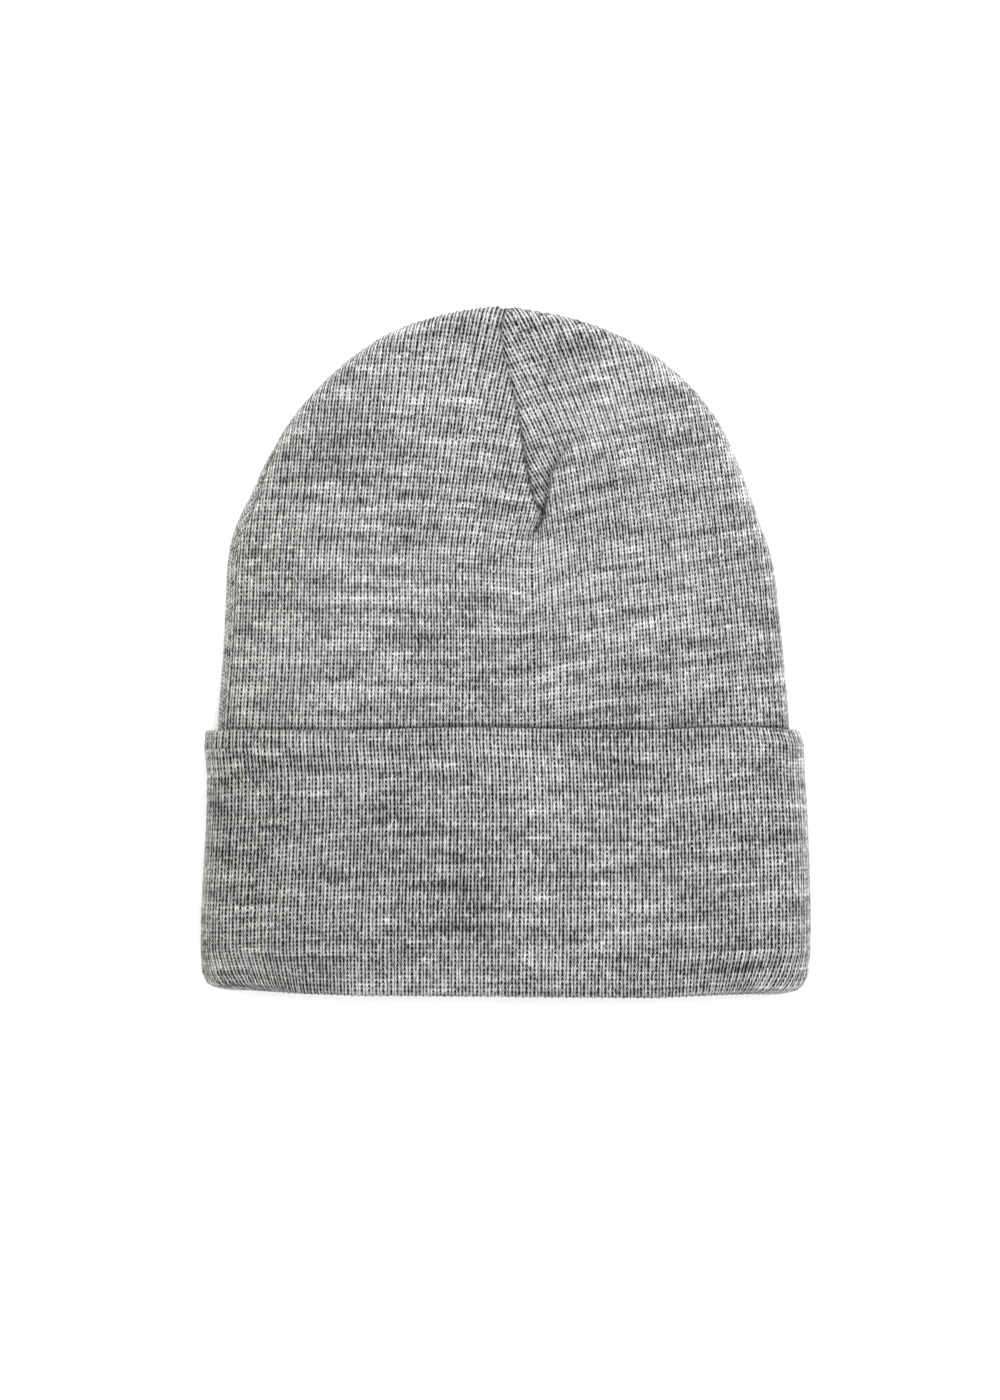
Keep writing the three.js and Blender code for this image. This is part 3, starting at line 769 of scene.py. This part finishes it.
def makeWool(name, own):
    shader = Shader(name)
    # the stitch attribute brings each point's wale, course and painted shading
    stitch = shader.add("ShaderNodeAttribute", {"attribute_name": "stitch"}, [], output=1)
    wale, row, paintedShading = (shader.add("ShaderNodeSeparateXYZ", {}, [stitch], output=k) for k in range(3))
    course = row.maths("FLOOR")
    phase = row.maths("FRACT")
    valley = (wale.maths("FRACT") * 2.0 - 1.0).maths("ABSOLUTE")
    flatRow = row - shader.ramp(valley, *knit["legRise"]) * (knit["legShear"] * own["legSide"])
    crest = 0.5 - 0.5 * (phase * (2 * math.pi)).maths("COSINE")
    # the yarn: streaks along the courses, a slow mottle, white flecks, single stitches and fibres
    marl = shader.noise(wale, flatRow, wool["marlGrain"])
    strands = shader.noise(wale, course, wool["strandGrain"])
    mottle = shader.noise(wale, row, wool["mottleGrain"])
    fleck = shader.ramp(shader.noise(wale, flatRow, wool["fleckGrain"]), *wool["fleckRise"])
    stitches = shader.noise(wale, course, wool["stitchGrain"])
    fibre = shader.noise(wale, row, wool["fibreGrain"])
    tone = marl * wool["marl"] + mottle * wool["mottle"] + fleck * wool["fleck"] + strands * wool["strands"]
    tone = (tone + stitches * wool["stitchVariety"]) * own["contrast"] + fibre * wool["fibre"]
    # the stitches' painted light and shade: two legs to a rib, lit along their crests, with painted shade in
    # the groove between them and in the holes between the ribs
    legs = shader.ramp(valley, *wool["legRise"], (wool["ribMiddle"], 1.0))
    legs = legs - shader.ramp(valley, *wool["legFall"], (0.0, wool["legDrop"]))
    legs = legs * (crest * wool["crest"] + (1.0 - wool["crest"])) - wool["legsFrom"]
    apart = 1.0 - crest
    hole = shader.ramp(valley, *wool["holeRise"]) * shader.ramp(apart, *wool["holeApart"])
    centre = shader.ramp(valley, *wool["centreFall"], (1.0, 0.0))
    centre = centre * (apart * (1.0 - wool["centreOnCrest"]) + wool["centreOnCrest"])
    shade = (1.0 - centre * wool["centre"]) * (1.0 - hole * wool["hole"])
    # painted shade: each piece is a little darker towards the cap's left and towards its own lower end
    place = shader.add("ShaderNodeTexCoord", {}, [], output=3)
    across, up = (shader.add("ShaderNodeSeparateXYZ", {}, [place], output=k) for k in range(2))
    shade = shade * shader.ramp(across, *wool["leftRise"], (own["left"], 1.0))
    shade = shade * shader.ramp(up, own["lowest"], own["lowest"] + wool["lowShadeReach"], (own["low"], 1.0))
    tone = (tone + own["level"] + legs * wool["legs"]) * shade * paintedShading
    tone = tone.maths("MAXIMUM", 0.0).maths("MINIMUM", 1.0)
    # painted warm shade: towards the cap's left the light colour is a little duller and warmer
    light = shader.colours(shader.ramp(across, *wool["paintedWarmFall"]), wool["paintedWarmShade"], wool["light"])
    colour = shader.colours(tone, wool["dark"], light)
    height = crest * wool["crestBump"] + fibre * wool["fibreBump"]
    normal = shader.add(
        "ShaderNodeBump", {}, {"Strength": wool["bump"], "Distance": wool["bumpDistance"], "Height": height})
    surface = shader.add("ShaderNodeBsdfPrincipled", {}, {
        "Base Color": colour, "Roughness": wool["roughness"], "Specular IOR Level": wool["specular"],
        "Sheen Weight": wool["sheen"], "Sheen Roughness": wool["sheenRoughness"], "Normal": normal})
    shader.add("ShaderNodeOutputMaterial", {}, {"Surface": surface})
    return shader.material


# Studio

studio = {
    "photoHeight": 1400, "photoMiddle": (500.0, 700.0), "capLeftPixel": 504.75, "capBottomPixel": 998.4,
    "millimetresPerPixel": 0.33, "sensor": 36.0, "lens": 85.0, "capTopHeight": 10.0,
    "floorSize": 12.0, "floorTone": 0.92, "floorRoughness": 0.9, "floorSpecular": 0.1,
    "worldTone": 1.6, "keyPlace": (0.55, 0.75, 1.5), "keySize": 1.0, "keyPower": 15.0,
}


def makeCamera():
    pixel = studio["millimetresPerPixel"]
    tall = studio["photoHeight"] * pixel
    data = bpy.data.cameras.new("camera")
    data.sensor_width = studio["sensor"]
    data.lens = studio["lens"]
    camera = bpy.data.objects.new("camera", data)
    bpy.context.scene.collection.objects.link(camera)
    x = (studio["photoMiddle"][0] - studio["capLeftPixel"]) * pixel
    y = (studio["capBottomPixel"] - studio["photoMiddle"][1]) * pixel + bottomY
    z = tall * studio["lens"] / studio["sensor"] + studio["capTopHeight"]
    camera.location = (x * mm, y * mm, z * mm)
    bpy.context.scene.camera = camera


def makeStudio():
    bpy.ops.object.select_all(action="DESELECT")
    bpy.ops.mesh.primitive_plane_add(size=studio["floorSize"], location=(0, 0, 0))
    floor = bpy.context.object
    floor.name = "floor"
    shader = Shader("pale_floor")
    tone = studio["floorTone"]
    surface = shader.add("ShaderNodeBsdfPrincipled", {}, {
        "Base Color": (tone, tone, tone, 1), "Roughness": studio["floorRoughness"],
        "Specular IOR Level": studio["floorSpecular"]})
    shader.add("ShaderNodeOutputMaterial", {}, {"Surface": surface})
    floor.data.materials.append(shader.material)
    world = bpy.data.worlds.new("studio")
    world.use_nodes = True
    world.node_tree.nodes["Background"].inputs[0].default_value = (1, 1, 1, 1)
    world.node_tree.nodes["Background"].inputs[1].default_value = studio["worldTone"]
    bpy.context.scene.world = world
    data = bpy.data.lights.new("key", "AREA")
    data.size = studio["keySize"]
    data.energy = studio["keyPower"]
    key = bpy.data.objects.new("key", data)
    bpy.context.scene.collection.objects.link(key)
    key.location = studio["keyPlace"]
    key.rotation_euler = (-key.location).to_track_quat("-Z", "Y").to_euler()
    view = bpy.context.scene.view_settings
    view.view_transform = "Standard"
    view.look = "None"


makeCamera()
makeStudio()
print("camera, floor and light are set")

# Columns to a rib, and rows to a course or the lining's row step in millimetres
frontDetail, backDetail, liningDetail = (6, 3), (4, 2), (4, 4.2)

crownWool = makeWool("crown_wool", crownTone)
cuffWool = makeWool("cuff_wool", cuffTone)
frontPly, backPly = Ply(True), Ply(False)
print("the dart stands on wale", frontPly.dartWale)
body = [
    knitGore("crown_front_left", frontPly, -1, *frontDetail, 11),
    knitGore("crown_front_right", frontPly, 1, *frontDetail, 12),
    knitGore("crown_front_tuck", frontPly, "tuck", *frontDetail, 17),
    knitGore("crown_back_left", backPly, -1, *backDetail, 13),
    knitGore("crown_back_right", backPly, 1, *backDetail, 14),
    knitLining("lining_front", frontPly, *liningDetail, 15),
    knitLining("lining_back", backPly, *liningDetail, 16),
]
for piece in body:
    finishPiece(piece, crownWool, "crown_body")
print("the body is knitted")
middle = knit["ribs"] // 2
cuffs = [
    knitCuff("cuff_front_left", True, 0, middle, *frontDetail, 21),
    knitCuff("cuff_front_right", True, middle, knit["ribs"], *frontDetail, 22),
    knitCuff("cuff_back", False, 0, knit["ribs"], *backDetail, 23),
]
for piece in cuffs:
    finishPiece(piece, cuffWool, "cuff")
print("the cuff is knitted")
